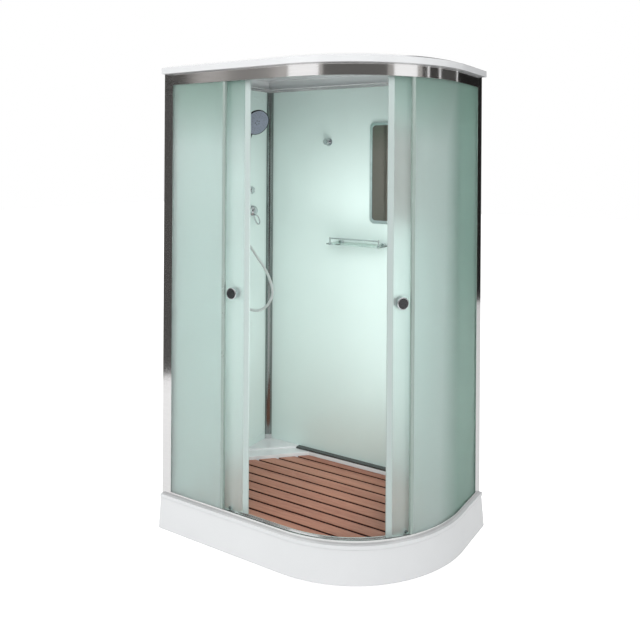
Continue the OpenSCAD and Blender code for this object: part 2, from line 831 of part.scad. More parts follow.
// Axle clamped through the glass: cap outside, collar inside, journal and end screw
module roller_axle() {
    journal = wheel_inset + wheel_w + air;
    translate([0, 0, door_inset - 3.5]) cylinder(r = axle_r + 4, h = 3.5, $fn = 48);
    translate([0, 0, door_inset - 1]) cylinder(r = axle_r + 1, h = glass_t + 2, $fn = 48);
    translate([0, 0, door_inner + air]) cylinder(r = axle_r + 3, h = wheel_gap - 2 * air, $fn = 48);
    translate([0, 0, door_inner]) cylinder(r = axle_r, h = journal - door_inner, $fn = 48);
    translate([0, 0, journal]) cylinder(r = axle_r + 1.5, h = 1.7, $fn = 48);
}
module left_roller_axles() {
    color("silver") left_leaf()
        for (x = [left_lead_x, left_wheel_trail_x], z = [top_wheel_z, bottom_wheel_z])
        at_front(x, z) roller_axle();
}
module right_roller_axles() {
    color("silver") right_leaf() for (a = [right_lead_angle, right_wheel_trail_angle],
            z = [top_wheel_z, bottom_wheel_z]) at_arc(a, z) roller_axle();
}

// Grooved roller that straddles a track lip
module wheel() {
    floor_w = 4;
    slope = 0.6;
    color("whitesmoke") translate([0, 0, wheel_inset]) rotate_extrude($fn = smooth) difference() {
        translate([axle_r + bore_play, 0]) square([wheel_r - axle_r - bore_play, wheel_w]);
        polygon([[groove_r, (wheel_w - floor_w) / 2], [groove_r, (wheel_w + floor_w) / 2],
            [wheel_r + 1, (wheel_w + floor_w) / 2 + slope],
            [wheel_r + 1, (wheel_w - floor_w) / 2 - slope]]);
    }
}
module left_wheel(x, z) {
    left_leaf() at_front(x, z) wheel();
}
module right_wheel(a, z) {
    right_leaf() at_arc(a, z) wheel();
}

// Rubber blocks on the top track that stop the opened doors
module track_stops() {
    left_face = left_wheel_trail_x - left_open - wheel_r - 8.5;
    right_face = right_wheel_trail_angle + right_open + arc_deg(wheel_r + 9.5);
    color("black") {
        front_run(left_face - 12, left_face) stop_section();
        arc_run(right_face, right_face + arc_deg(12)) stop_section();
    }
}
module stop_section() {
    slab(track_inset + 1.25 + air, rail_inner - rail_t, shelf_lip_z + rail_t, top_wheel_z + 4);
}

// Shell with a rounded shoulder along the front, seated on the frame
module roof() {
    color("white") difference() {
        roof_body(0, 0);
        intersection() {
            roof_body(roof_t, roof_t);
            translate([0, 0, frame_top + roof_t]) linear_extrude(roof_h) plan(roof_t, roof_t);
        }
        translate([0, 0, frame_top - 1]) linear_extrude(roof_t + 2) plan(rail_inner + 4, wall_inset + 4);
    }
}
module roof_body(u, t) {
    top = frame_top + roof_h - t;
    bow = (shoulder * shoulder + pow(roof_h - roof_rim, 2)) / (2 * (roof_h - roof_rim)) - t;
    wrap() intersection() {
        slab(u, shoulder, frame_top, top);
        translate([-shoulder, top - bow]) circle(r = bow, $fn = 12 * smooth);
    }
    translate([0, 0, frame_top]) linear_extrude(roof_h - t) plan(shoulder, t);
}

module mirror_glass() {
    color("lightsteelblue") at_back_wall(mirror_x + mirror_w / 2, mirror_z + mirror_h / 2)
        translate([0, 0, 5]) linear_extrude(4)
            rounded_box(mirror_w - 2 * mirror_edge, mirror_h - 2 * mirror_edge, mirror_r - mirror_edge / 2);
}
module mirror_frame() {
    color("silver") at_back_wall(mirror_x + mirror_w / 2, mirror_z + mirror_h / 2) difference() {
        union() {
            linear_extrude(8) rounded_box(mirror_w, mirror_h, mirror_r);
            translate([0, 0, 8]) linear_extrude(3)
                rounded_box(mirror_w - 6, mirror_h - 6, mirror_r - 3);
        }
        translate([0, 0, 5]) linear_extrude(10)
            rounded_box(mirror_w - 2 * mirror_edge, mirror_h - 2 * mirror_edge, mirror_r - mirror_edge / 2);
    }
}

module shelf_glass() {
    color("lightcyan") translate([shelf_x, wall_y - shelf_d, shelf_z - shelf_t]) difference() {
        translate([0, 4, 0]) linear_extrude(shelf_t) {
            square([shelf_l, shelf_d - 4 - shelf_off]);
            translate([4, -4]) square([shelf_l - 8, 5]);
            for (x = [4, shelf_l - 4]) translate([x, 0]) circle(r = 4, $fn = 48);
        }
        for (x = post_offsets()) translate([x, 14, -1]) cylinder(r = 3.2, h = shelf_t + 2, $fn = 48);
    }
}
function post_offsets() = [14, shelf_l - 14];
shelf_off = 6;

// Guard rail on two posts through the glass, and the two wall clamps
module shelf_rail() {
    z0 = shelf_z - shelf_t;
    color("silver") {
        for (x = post_offsets()) translate([shelf_x + x, wall_y - shelf_d + 14, z0 - 3]) {
            cylinder(r = 3, h = shelf_t + guard_h + 3, $fn = 48);
            cylinder(r = 6, h = 3, $fn = 48);
            translate([0, 0, shelf_t + 3]) cylinder(r = 6, h = 3, $fn = 48);
            translate([0, 0, shelf_t + guard_h + 3]) sphere(r = 5, $fn = 48);
        }
        translate([shelf_x + post_offsets()[0], wall_y - shelf_d + 14, z0 + shelf_t + guard_h])
            rotate([0, 90, 0]) cylinder(r = 3, h = post_offsets()[1] - post_offsets()[0], $fn = 48);
        for (x = [30, shelf_l - 30]) translate([shelf_x + x, wall_y, z0 + shelf_t / 2]) rotate([90, 0, 0])
            difference() {
                cylinder(r = 11, h = 22, $fn = 64);
                translate([-12, -shelf_t / 2, shelf_off]) cube([24, shelf_t, 30]);
            }
    }
}

module robe_hook() {
    color("silver") at_back_wall(hook_x, hook_z) rotate_extrude($fn = smooth) {
        square([20, 5]);
        square([8, 30]);
        translate([0, 28]) square([13, 6]);
        translate([13, 31]) circle(r = 3, $fn = 48);
    }
}

// Mixer: flange and neck on the wall, a ball that turns and a loop lever that tilts on the ball's pins
ball_x = wall_x + 23;
ball_back = -8;
pin_r = 2.5;
pipe_r = 5;
flange_r = 34;

module mixer_body() {
    neck = ball_x + ball_back - wall_x;
    inlet_end = wall_inset - panel_t - 4.5;
    color("silver") {
        at_left_wall(mixer_y, mixer_z) difference() {
            union() {
                cylinder(r = flange_r, h = 4, $fn = smooth);
                cylinder(r = 18, h = neck - air, $fn = smooth);
            }
            translate([0, 0, neck - 11]) cylinder(r = 8 + bore_play, h = 12, $fn = 64);
        }
        for (side = [-1, 1]) translate([left, mixer_y + side * inlet_offset, mixer_z])
            rotate([0, 90, 0]) {
                cylinder(r = inlet_r, h = inlet_end, $fn = 64);
                cylinder(r = inlet_r - 0.5, h = wall_inset + 1, $fn = 64);
            }
    }
}
// Half sections about the ball's X axis, drawn with that axis upright
module ball_section() {
    intersection() {
        circle(r = ball_r, $fn = 4 * smooth);
        translate([0, ball_back]) square(2 * ball_r);
    }
    translate([0, ball_back - 10]) square([8, 14]);
}
module mixer_ball() {
    color("gray") translate([ball_x, mixer_y, mixer_z]) {
        rotate([0, 90, 0]) rotate_extrude($fn = smooth) ball_section();
        for (side = [-90, 90]) rotate([side, 0, 0]) translate([0, 0, ball_r - 6])
            cylinder(r = pin_r, h = 9, $fn = 48);
    }
}
lever_shell = 4;
lever_drop = 25;
module shell_section(inner) {
    difference() {
        intersection() {
            circle(r = inner + lever_shell, $fn = 4 * smooth);
            translate([0, -4.5]) square(2 * inner);
        }
        circle(r = inner, $fn = 4 * smooth);
    }
}
module mixer_lever() {
    inner = ball_r + air + 0.1;
    loop_r = 16;
    bar_r = 3.5;
    straight = 18;
    color("silver") translate([ball_x, mixer_y, mixer_z]) {
        difference() {
            rotate([0, 90, 0]) rotate_extrude($fn = smooth) shell_section(inner);
            for (side = [-90, 90]) rotate([side, 0, 0]) translate([0, 0, ball_r - 2])
                cylinder(r = pin_r + bore_play, h = 9, $fn = 48);
        }
        rotate([0, -lever_drop, 0]) translate([11, 0, -inner - lever_shell - loop_r + 2]) rotate([0, 90, 0])
            loop_handle(loop_r, bar_r, straight);
    }
}
// Stadium shaped ring of round bar, its long side along local X
module loop_handle(loop_r, bar_r, straight) {
    for (side = [0, 1]) translate([side * straight, 0, 0]) rotate([0, 0, side == 0 ? 90 : -90])
        rotate_extrude(angle = 180, $fn = 64) translate([loop_r, 0]) circle(r = bar_r, $fn = 48);
    for (y = [-loop_r, loop_r]) translate([0, y, 0]) rotate([0, 90, 0])
        cylinder(r = bar_r, h = straight, $fn = 48);
}

module diverter_body() {
    color("silver") at_left_wall(mixer_y, diverter_z) {
        cylinder(r = 26, h = 4, $fn = smooth);
        cylinder(r = 12, h = 10, $fn = 64);
        cylinder(r = 5, h = 22, $fn = 48);
    }
}
module diverter_knob() {
    color("silver") at_left_wall(mixer_y, diverter_z) translate([0, 0, 10 + air]) difference() {
        union() {
            cylinder(r = 17, h = 15, $fn = smooth);
            for (k = [0:5]) rotate([0, 0, k * 60]) translate([15, 0, 0]) cylinder(r = 5, h = 15, $fn = 48);
            translate([0, 0, 15]) cylinder(r = 12, h = 3, $fn = 64);
        }
        translate([0, 0, -1]) cylinder(r = 5 + bore_play, h = 14, $fn = 48);
    }
}

// Lock nuts of the mixer's tails behind the panel
module lock_nuts() {
    color("goldenrod") for (side = [-1, 1])
        translate([wall_x - panel_t - 4, mixer_y + side * inlet_offset, mixer_z])
        rotate([0, 90, 0]) difference() {
            cylinder(r = inlet_r + 4, h = 4, $fn = 6);
            translate([0, 0, -1]) cylinder(r = inlet_r + 0.1, h = 6, $fn = 64);
        }
}

// Pipes behind the panel: mixer to diverter, and diverter to hose elbow
function pipe_holes() = [[mixer_y, mixer_z + 27], [mixer_y, diverter_z - 17],
    [mixer_y - 17, diverter_z], [elbow_y, elbow_z + 12]];
module supply_pipes() {
    x = left + pipe_r + 2;
    holes = pipe_holes();
    color("peru") {
        pipe_run(x, [holes[0], holes[1]]);
        pipe_run(x, [holes[2], [elbow_y, diverter_z], holes[3]]);
    }
}
module pipe_run(x, stops) {
    for (k = [0, len(stops) - 1]) translate([x, stops[k][0], stops[k][1]]) rotate([0, 90, 0])
        cylinder(r = pipe_r, h = wall_x - x, $fn = 48);
    for (p = stops) translate([x, p[0], p[1]]) sphere(r = pipe_r, $fn = 48);
    for (k = [0:len(stops) - 2]) {
        step = stops[k + 1] - stops[k];
        translate([x, stops[k][0], stops[k][1]]) rotate([atan2(step[1], step[0]) - 90, 0, 0])
            cylinder(r = pipe_r, h = norm(step), $fn = 48);
    }
}

module hose_elbow() {
    color("silver") translate([wall_x, elbow_y, elbow_z]) {
        rotate([0, 90, 0]) cylinder(r = 24, h = 5, $fn = smooth);
        rotate([0, 90, 0]) cylinder(r = 11, h = elbow_out, $fn = 64);
        translate([elbow_out, 0, 0]) sphere(r = 11, $fn = 64);
        translate([elbow_out, 0, 0]) rotate([0, 180 - elbow_lean, 0])
            cylinder(r = 9, h = elbow_drop, $fn = 64);
    }
}

// One nut on the elbow's mouth, and a conical one under the handle
module hose_nuts() {
    color("silver") {
        translate([wall_x + elbow_out, elbow_y, elbow_z]) rotate([0, 180 - elbow_lean, 0])
            translate([0, 0, elbow_drop]) cylinder(r = 11, h = 16, $fn = 64);
        at_holder() translate([0, 0, handle_low - air - nut_h])
            cylinder(r1 = hose_r + 1.5, r2 = handle_r - 1, h = nut_h, $fn = 64);
    }
}

// Wall holder: a round foot, an arm and a slotted cone for the handle
module shower_holder() {
    cone_out = handle_r + 7;
    color("silver") difference() {
        union() {
            translate([wall_x, holder_y, holder_z]) rotate([0, 90, 0]) {
                cylinder(r = 24, h = 6, $fn = smooth);
                cylinder(r = 9, h = holder_out - 8, $fn = 64);
            }
            at_holder() translate([0, 0, -15]) cylinder(r = cone_out, h = 30, $fn = 64);
        }
        at_holder() {
            translate([0, 0, -16]) cylinder(r = handle_r + air, h = 32, $fn = 64);
            translate([0, -8, -16]) cube([cone_out + 2, 16, 32]);
        }
    }
}

module hand_shower() {
    color("silver") at_holder() rotate([0, 0, -spin]) {
        translate([0, 0, handle_low]) cylinder(r1 = handle_r - 1.5, r2 = handle_r, h = 40, $fn = 64);
        translate([0, 0, handle_low + 40]) cylinder(r = handle_r, h = head_z - handle_low - 60, $fn = 64);
        translate([0, 0, head_z - 30]) sphere(r = handle_r + 2, $fn = 64);
        translate([head_out, 0, head_z]) rotate([0, 90, 0]) rotate_extrude($fn = smooth) head_section();
    }
}
// Half section of the head: a shallow dome with a rolled rim, open to the front
module head_section() {
    dome_r = head_r * 1.6;
    difference() {
        union() {
            intersection() {
                translate([0, dome_r - 14]) circle(r = dome_r, $fn = 4 * smooth);
                translate([0, -20]) square([head_r - 2, 32]);
            }
            translate([head_r - 4, 6]) square([4, 8]);
            translate([head_r - 4, 6]) circle(r = 4, $fn = 48);
        }
        translate([-1, 9]) square([head_r - 2.6, 10]);
        translate([-head_r, -30]) square([head_r, 60]);
    }
}

// Face of the head, turned to choose the spray, with its rings of nozzles
module spray_face() {
    face_r = head_r - 4;
    color("slategray") at_holder() rotate([0, 0, -spin])
    translate([head_out + 9 + air, 0, head_z]) rotate([0, 90, 0]) {
        cylinder(r = face_r, h = 5, $fn = smooth);
        cylinder(r = face_r * 0.34, h = 7, $fn = 64);
        for (ring = [[0.52, 12], [0.68, 18], [0.84, 24]], k = [0:ring[1] - 1])
            rotate([0, 0, k * 360 / ring[1]]) translate([face_r * ring[0], 0, 4])
                cylinder(r = 1.6, h = 2.2, $fn = 16);
    }
}

// Route of the hose, from the elbow's nut down round its loop and up to the handle
hose_start = [wall_x + elbow_out + (elbow_drop + 16) * sin(elbow_lean), elbow_y,
    elbow_z - (elbow_drop + 16) * cos(elbow_lean)];
hose_end = [holder_x + (handle_low - air - nut_h) * sin(lean), holder_y,
    holder_z + (handle_low - air - nut_h) * cos(lean)];
hose_first = hose_start + 2 * hose_r * [sin(elbow_lean), 0, -cos(elbow_lean)];
hose_last = hose_end - 2 * hose_r * [sin(lean), 0, cos(lean)];
HOSE = [[-510, 80, 1246], [-465, 120, 1155], [-428, 150, 1081], [-405, 166, 1007], [-402, 164, 955],
    [-420, 142, 908], [-452, 106, 890], [-490, 64, 914], [-520, 30, 980], [-540, 12, 1090],
    [-550, 6, 1220], [-556, 14, 1350], [-564, 50, 1470], [-568, 82, 1545]];
hose_route = concat([hose_start, hose_first], HOSE, [hose_last, hose_end]);

function spline(p, q, r, s, t) = 0.5 * (2 * q + (r - p) * t + (2 * p - 5 * q + 4 * r - s) * t * t
    + (3 * q - p - 3 * r + s) * t * t * t);
function route_point(route, k) = route[max(0, min(len(route) - 1, k))];
function smooth_route(route, steps) = concat(
    [for (k = [0:len(route) - 2], j = [0:steps - 1])
        (k == 0 || k == len(route) - 2) && j > 0 ? undef
        : spline(route_point(route, k - 1), route[k], route[k + 1], route_point(route, k + 2), j / steps)],
    [route[len(route) - 1]]);
function kept(list) = [for (p = list) if (p != undef) p];

// A tube of n sides swept along the points, with its rings turned by the shortest way
function unit(v) = v / norm(v);
function heading(points, k) = unit(points[min(k + 1, len(points) - 1)] - points[max(k - 1, 0)]);
function ring(points, k, r, n) =
    let (t = heading(points, k), side = unit(cross(t, [0.6, -0.78, 0.15])), up = cross(side, t))
    [for (j = [0:n - 1]) points[k] + r * (cos(360 * j / n) * side + sin(360 * j / n) * up)];
module tube_along(points, r, n) {
    last = len(points) - 1;
    rings = [for (k = [0:last]) each ring(points, k, r, n)];
    sides = [for (k = [0:last - 1], j = [0:n - 1]) let (a = k * n + j, b = k * n + (j + 1) % n)
        each [[a, a + n, b], [b, a + n, b + n]]];
    caps = [[for (j = [0:n - 1]) j], [for (j = [n - 1:-1:0]) last * n + j]];
    polyhedron(rings, concat(sides, caps), convexity = 8);
}
module shower_hose() {
    color("silver") tube_along(kept(smooth_route(hose_route, 3)), hose_r, 10);
}

tray();
apron();
apron_brackets();
tray_frame();
legs();
feet();
drain_body();
drain_cover();
duckboard_slats();
duckboard_battens();
top_rail();
bottom_rail();
left_post();
right_post();
wall_top_profile();
wall_foot_strip();
corner_column();
corner_column_foot();
back_wall();
left_wall();
left_fixed_glass();
right_fixed_glass();
fixed_glass_seals();
left_door_glass();
right_door_glass();
left_door_seals();
right_door_seals();
left_door_knobs();
right_door_knobs();
left_roller_axles();
right_roller_axles();
left_wheel(left_lead_x, top_wheel_z);  // left_top_lead_wheel
left_wheel(left_wheel_trail_x, top_wheel_z);  // left_top_trail_wheel
left_wheel(left_lead_x, bottom_wheel_z);  // left_bottom_lead_wheel
left_wheel(left_wheel_trail_x, bottom_wheel_z);  // left_bottom_trail_wheel
right_wheel(right_lead_angle, top_wheel_z);  // right_top_lead_wheel
right_wheel(right_wheel_trail_angle, top_wheel_z);  // right_top_trail_wheel
right_wheel(right_lead_angle, bottom_wheel_z);  // right_bottom_lead_wheel
right_wheel(right_wheel_trail_angle, bottom_wheel_z);  // right_bottom_trail_wheel
track_stops();
roof();
mirror_glass();
mirror_frame();
shelf_glass();
shelf_rail();
robe_hook();
mixer_body();
mixer_ball();
mixer_lever();
diverter_body();
diverter_knob();
lock_nuts();
supply_pipes();
hose_elbow();
hose_nuts();
shower_holder();
hand_shower();
spray_face();
shower_hose();
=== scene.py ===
import json
import math
import bmesh
import bpy
from mathutils import Matrix, Vector


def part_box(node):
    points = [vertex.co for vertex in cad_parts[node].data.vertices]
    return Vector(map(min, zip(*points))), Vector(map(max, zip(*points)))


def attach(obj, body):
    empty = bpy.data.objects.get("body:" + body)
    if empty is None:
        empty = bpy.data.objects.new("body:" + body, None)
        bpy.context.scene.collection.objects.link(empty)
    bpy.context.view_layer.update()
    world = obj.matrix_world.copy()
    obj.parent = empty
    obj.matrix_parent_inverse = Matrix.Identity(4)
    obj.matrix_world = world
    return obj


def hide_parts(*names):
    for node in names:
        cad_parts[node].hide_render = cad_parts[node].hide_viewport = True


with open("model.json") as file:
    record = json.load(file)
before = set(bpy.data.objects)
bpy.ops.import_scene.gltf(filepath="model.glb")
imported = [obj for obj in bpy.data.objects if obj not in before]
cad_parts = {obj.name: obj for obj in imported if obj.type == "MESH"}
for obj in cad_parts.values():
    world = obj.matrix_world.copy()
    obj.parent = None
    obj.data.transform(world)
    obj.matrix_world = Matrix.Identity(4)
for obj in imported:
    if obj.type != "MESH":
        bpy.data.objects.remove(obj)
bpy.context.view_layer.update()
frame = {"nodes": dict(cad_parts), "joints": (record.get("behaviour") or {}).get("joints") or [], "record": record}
nodes = frame["nodes"]
record = frame["record"]
joints = {joint["name"]: joint for joint in frame["joints"]}
bodyOf = {node: body for body, members in record["behaviour"]["bodies"].items() for node in members}
slotOf = {part["node"]: part["material_slot"] for part in record["subparts"]}
print("frame loaded:", len(nodes), "nodes")

# the camera stands where the photograph was taken from
cameraView = {
    "place": (1.6733, -2.6919, 1.6067),
    "yaw": math.radians(32.22),
    "pitch": math.radians(-0.04),
    "roll": math.radians(0.36),
    "focalPixels": 715.4,
    "framePixels": 640,
    "axisPixel": 165,  # the row of the frame that the lens points at
}


def makeCamera(view):
    yaw, pitch, roll = view["yaw"], view["pitch"], view["roll"]
    forward = Vector((-math.sin(yaw) * math.cos(pitch),
                      math.cos(yaw) * math.cos(pitch), math.sin(pitch)))
    side = Vector((math.cos(yaw), math.sin(yaw), 0))
    up = side.cross(forward)
    right = side * math.cos(roll) + up * math.sin(roll)
    top = up * math.cos(roll) - side * math.sin(roll)
    data = bpy.data.cameras.new("photo camera")
    data.lens = view["focalPixels"] / view["framePixels"] * data.sensor_width
    data.shift_y = (view["axisPixel"] - view["framePixels"] / 2) / view["framePixels"]
    camera = bpy.data.objects.new("photo camera", data)
    bpy.context.scene.collection.objects.link(camera)
    turn = Matrix((right, top, -forward)).transposed().to_4x4()
    camera.matrix_world = Matrix.Translation(view["place"]) @ turn
    bpy.context.scene.camera = camera


makeCamera(cameraView)
print("camera placed")


# shader nodes: a value that goes into one is a number, a tuple or another node's output
def feed(tree, socket, value):
    if isinstance(value, bpy.types.NodeSocket):
        tree.links.new(value, socket)
    else:
        socket.default_value = value


def feedAll(tree, sockets, values):
    for label, value in values.items():
        feed(tree, sockets[label], value)


def noise(tree, vector, scale, detail=3.0, roughness=0.5):
    made = tree.nodes.new("ShaderNodeTexNoise")
    feedAll(tree, made.inputs, {
        "Vector": vector, "Scale": scale, "Detail": detail, "Roughness": roughness})
    return made.outputs["Fac"]


def mapRange(tree, value, low, high, newLow=0.0, newHigh=1.0):
    made = tree.nodes.new("ShaderNodeMapRange")
    feedAll(tree, made.inputs, {
        "Value": value, "From Min": low, "From Max": high, "To Min": newLow, "To Max": newHigh})
    return made.outputs["Result"]


def mixColor(tree, share, under, over):
    made = tree.nodes.new("ShaderNodeMix")
    made.data_type = "RGBA"
    feed(tree, made.inputs[0], share)
    # sockets 6 and 7 and output 2 are the ones for colours
    feed(tree, made.inputs[6], under)
    feed(tree, made.inputs[7], over)
    return made.outputs[2]


def arithmetic(tree, operation, *values, kind="ShaderNodeMath"):
    made = tree.nodes.new(kind)
    made.operation = operation
    for socket, value in zip(made.inputs, values):
        feed(tree, socket, value)
    return made.outputs[0]


def vectorArithmetic(tree, operation, *values):
    return arithmetic(tree, operation, *values, kind="ShaderNodeVectorMath")


def splitVector(tree, vector):
    made = tree.nodes.new("ShaderNodeSeparateXYZ")
    feed(tree, made.inputs[0], vector)
    return made.outputs


def bump(tree, shader, height, strength, depth):
    made = tree.nodes.new("ShaderNodeBump")
    feedAll(tree, made.inputs, {"Height": height, "Strength": strength, "Distance": depth})
    feed(tree, shader["Normal"], made.outputs["Normal"])


def opaque(color):
    return (*color, 1)


# shader groups, each shared by several finishes
def newGroup(name, inputs, outputs):
    group = bpy.data.node_groups.new(name, "ShaderNodeTree")
    for label, kind, value in inputs:
        made = group.interface.new_socket(label, in_out="INPUT", socket_type=kind)
        if value is not None:
            made.default_value = value
    for label, kind in outputs:
        group.interface.new_socket(label, in_out="OUTPUT", socket_type=kind)
    start, end = group.nodes.new("NodeGroupInput"), group.nodes.new("NodeGroupOutput")
    return group, start.outputs, end.inputs


def placeGroup(tree, group, values):
    made = tree.nodes.new("ShaderNodeGroup")
    made.node_tree = group
    feedAll(tree, made.inputs, values)
    return made.outputs


# handling: slow changes of tint, and a fine grain that moves the roughness
wear = {
    "scale": 4.0,
    "slow": (4.0, 0.6),  # detail, roughness
    "wornFrom": (0.35, 0.75),
    "grain": (260.0, 2.0),  # scale, detail
    "grainShare": 0.35,
    "roughFrom": (0.4, 1.0),
    "grainDepth": 0.0004,
}


def makeWearGroup():
    group, given, made = newGroup(
        "handling marks",
        [("Vector", "NodeSocketVector", None), ("Clean", "NodeSocketColor", (0.8, 0.8, 0.8, 1)),
         ("Worn", "NodeSocketColor", (0.6, 0.6, 0.6, 1)), ("Rough Low", "NodeSocketFloat", 0.1),
         ("Rough High", "NodeSocketFloat", 0.2), ("Scale", "NodeSocketFloat", wear["scale"])],
        [("Color", "NodeSocketColor"), ("Roughness", "NodeSocketFloat"), ("Height", "NodeSocketFloat")])
    slow = noise(group, given["Vector"], given["Scale"], *wear["slow"])
    grain = noise(group, given["Vector"], *wear["grain"])
    worn = mapRange(group, slow, *wear["wornFrom"])
    smear = arithmetic(group, "MULTIPLY_ADD", grain, wear["grainShare"], slow)
    feedAll(group, made, {
        "Color": mixColor(group, worn, given["Clean"], given["Worn"]),
        "Roughness": mapRange(group, smear, *wear["roughFrom"], given["Rough Low"], given["Rough High"]),
        "Height": grain})
    return group


# drawn metal: fine lines along one axis, from a vector that is squeezed before the noise
streaks = {
    "lines": (380.0, 4.0, 0.7),  # scale, detail, roughness
    "roughFrom": (0.3, 0.7),
    "bump": 0.06,
    "lineDepth": 0.0003,
}


def makeStreakGroup():
    group, given, made = newGroup(
        "drawn lines",
        [("Vector", "NodeSocketVector", None), ("Stretch", "NodeSocketVector", (1, 1, 0.02)),
         ("Rough Low", "NodeSocketFloat", 0.08), ("Rough High", "NodeSocketFloat", 0.2)],
        [("Roughness", "NodeSocketFloat"), ("Height", "NodeSocketFloat"), ("Mask", "NodeSocketFloat")])
    squeezed = vectorArithmetic(group, "MULTIPLY", given["Vector"], given["Stretch"])
    lines = noise(group, squeezed, *streaks["lines"])
    rough = mapRange(group, lines, *streaks["roughFrom"], given["Rough Low"], given["Rough High"])
    feedAll(group, made, {"Roughness": rough, "Height": lines, "Mask": lines})
    return group


# wood: long fibres, darker rings, a tone of its own for each slat, and painted shade: near black below the boards'
# top, on the slats' sides and the battens under them
wood = {
    "slatShift": (7, 7, 7),  # how far apart the slats' grains may lie
    "stretch": (0.06, 1, 1),
    "fibres": (420.0, 5.0, 0.65),
    "rings": (60.0, 3.0, 0.5),
    "ringShare": 0.8,
    "darkFrom": (0.6, 1.2),
    "slatTone": (0.55, 0.28, 0.19),
    "toneShare": 0.35,
    "roughFrom": (0.3, 0.7),
    "rough": (0.38, 0.6),
    "plain": {"Coat Weight": 0.15, "Coat Roughness": 0.35},
    "boardTop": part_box("duckboard_slats")[1][2],
    "paintedShadeStart": (0.0024, 0.0012),  # depths under the board's top, below its rounded edges, where the painted shade begins
    "bump": 0.35,
    "fibreDepth": 0.0008,
}


def makeGrainGroup():
    group, given, made = newGroup(
        "wood grain",
        [("Vector", "NodeSocketVector", None), ("Light", "NodeSocketColor", (0.5, 0.3, 0.2, 1)),
         ("Dark", "NodeSocketColor", (0.25, 0.12, 0.08, 1)), ("Slat Pitch", "NodeSocketFloat", 0.07)],
        [("Color", "NodeSocketColor"), ("Roughness", "NodeSocketFloat"), ("Height", "NodeSocketFloat")])
    slat = arithmetic(group, "DIVIDE", splitVector(group, given["Vector"])["Y"], given["Slat Pitch"])
    tone = group.nodes.new("ShaderNodeTexWhiteNoise")
    tone.noise_dimensions = "1D"
    feed(group, tone.inputs["W"], arithmetic(group, "FLOOR", slat))
    shift = group.nodes.new("ShaderNodeCombineXYZ")
    feed(group, shift.inputs["X"], tone.outputs["Value"])
    moved = vectorArithmetic(group, "MULTIPLY_ADD", shift.outputs[0], wood["slatShift"], given["Vector"])
    squeezed = vectorArithmetic(group, "MULTIPLY", moved, wood["stretch"])
    fibres = noise(group, squeezed, *wood["fibres"])
    rings = noise(group, squeezed, *wood["rings"])
    both = arithmetic(group, "MULTIPLY_ADD", rings, wood["ringShare"], fibres)
    dark = mapRange(group, both, *wood["darkFrom"])
    base = mixColor(group, dark, given["Light"], given["Dark"])
    toned = mapRange(group, tone.outputs["Value"], 0.0, 1.0, 0.0, wood["toneShare"])
    feedAll(group, made, {
        "Color": mixColor(group, toned, base, opaque(wood["slatTone"])),
        "Roughness": mapRange(group, fibres, *wood["roughFrom"], *wood["rough"]),
        "Height": both})
    return group


wearGroup, streakGroup, grainGroup = makeWearGroup(), makeStreakGroup(), makeGrainGroup()


def newMaterial(name):
    made = bpy.data.materials.new(name)
    made.use_nodes = True
    return made, made.node_tree


def newFinish(name, plain):
    made, tree = newMaterial(name)
    shader = tree.nodes["Principled BSDF"].inputs
    feedAll(tree, shader, plain)
    where = tree.nodes.new("ShaderNodeTexCoord").outputs["Object"]
    return made, tree, shader, where


def handlingMarks(tree, where, spec):
    return placeGroup(tree, wearGroup, {
        "Vector": where, "Scale": spec.get("scale", wear["scale"]),
        "Clean": opaque(spec["clean"]), "Worn": opaque(spec["worn"]),
        "Rough Low": spec["rough"][0], "Rough High": spec["rough"][1]})


def handledFinish(name, spec):
    made, tree, shader, where = newFinish(name, spec.get("plain", {}))
    marks = handlingMarks(tree, where, spec)
    feedAll(tree, shader, {"Base Color": marks["Color"], "Roughness": marks["Roughness"]})
    if "bump" in spec:
        bump(tree, shader, marks["Height"], spec["bump"], wear["grainDepth"])
    return made


def drawnFinish(name, spec):
    made, tree, shader, where = newFinish(name, spec["plain"])
    lines = placeGroup(tree, streakGroup, {
        "Vector": where, "Stretch": spec["stretch"],
        "Rough Low": spec["rough"][0], "Rough High": spec["rough"][1]})
    feedAll(tree, shader, {
        "Base Color": mixColor(tree, lines["Mask"], opaque(spec["clean"]), opaque(spec["worn"])),
        "Roughness": lines["Roughness"]})
    bump(tree, shader, lines["Height"], streaks["bump"], streaks["lineDepth"])
    return made


def woodFinish(name, spec):
    made, tree, shader, where = newFinish(name, wood["plain"])
    grain = placeGroup(tree, grainGroup, {
        "Vector": where, "Light": opaque(spec["light"]), "Dark": opaque(spec["dark"]),
        "Slat Pitch": spec["pitch"]})
    # painted shade: below the boards' top the colour fades to near black, for the shade in the gaps between the
    # slats and under them
    low, high = (wood["boardTop"] - depth for depth in wood["paintedShadeStart"])
    paintedShadeShare = mapRange(tree, splitVector(tree, where)["Z"], low, high, 1.0, 0.0)
    feedAll(tree, shader, {
        "Base Color": mixColor(tree, paintedShadeShare, grain["Color"], opaque(spec["paintedShadeColor"])),
        "Roughness": grain["Roughness"]})
    bump(tree, shader, grain["Height"], wood["bump"], wood["fibreDepth"])
    return made


# glass: faintly cloudy and etched
glass = {
    "index": 1.45,
    "cloud": (3.0, 3.0),  # scale, detail
    "roughFrom": (0.3, 0.7),
    "facing": 0.5,
    "etching": (900.0, 2.0),
    "etchDepth": 0.0002,
}


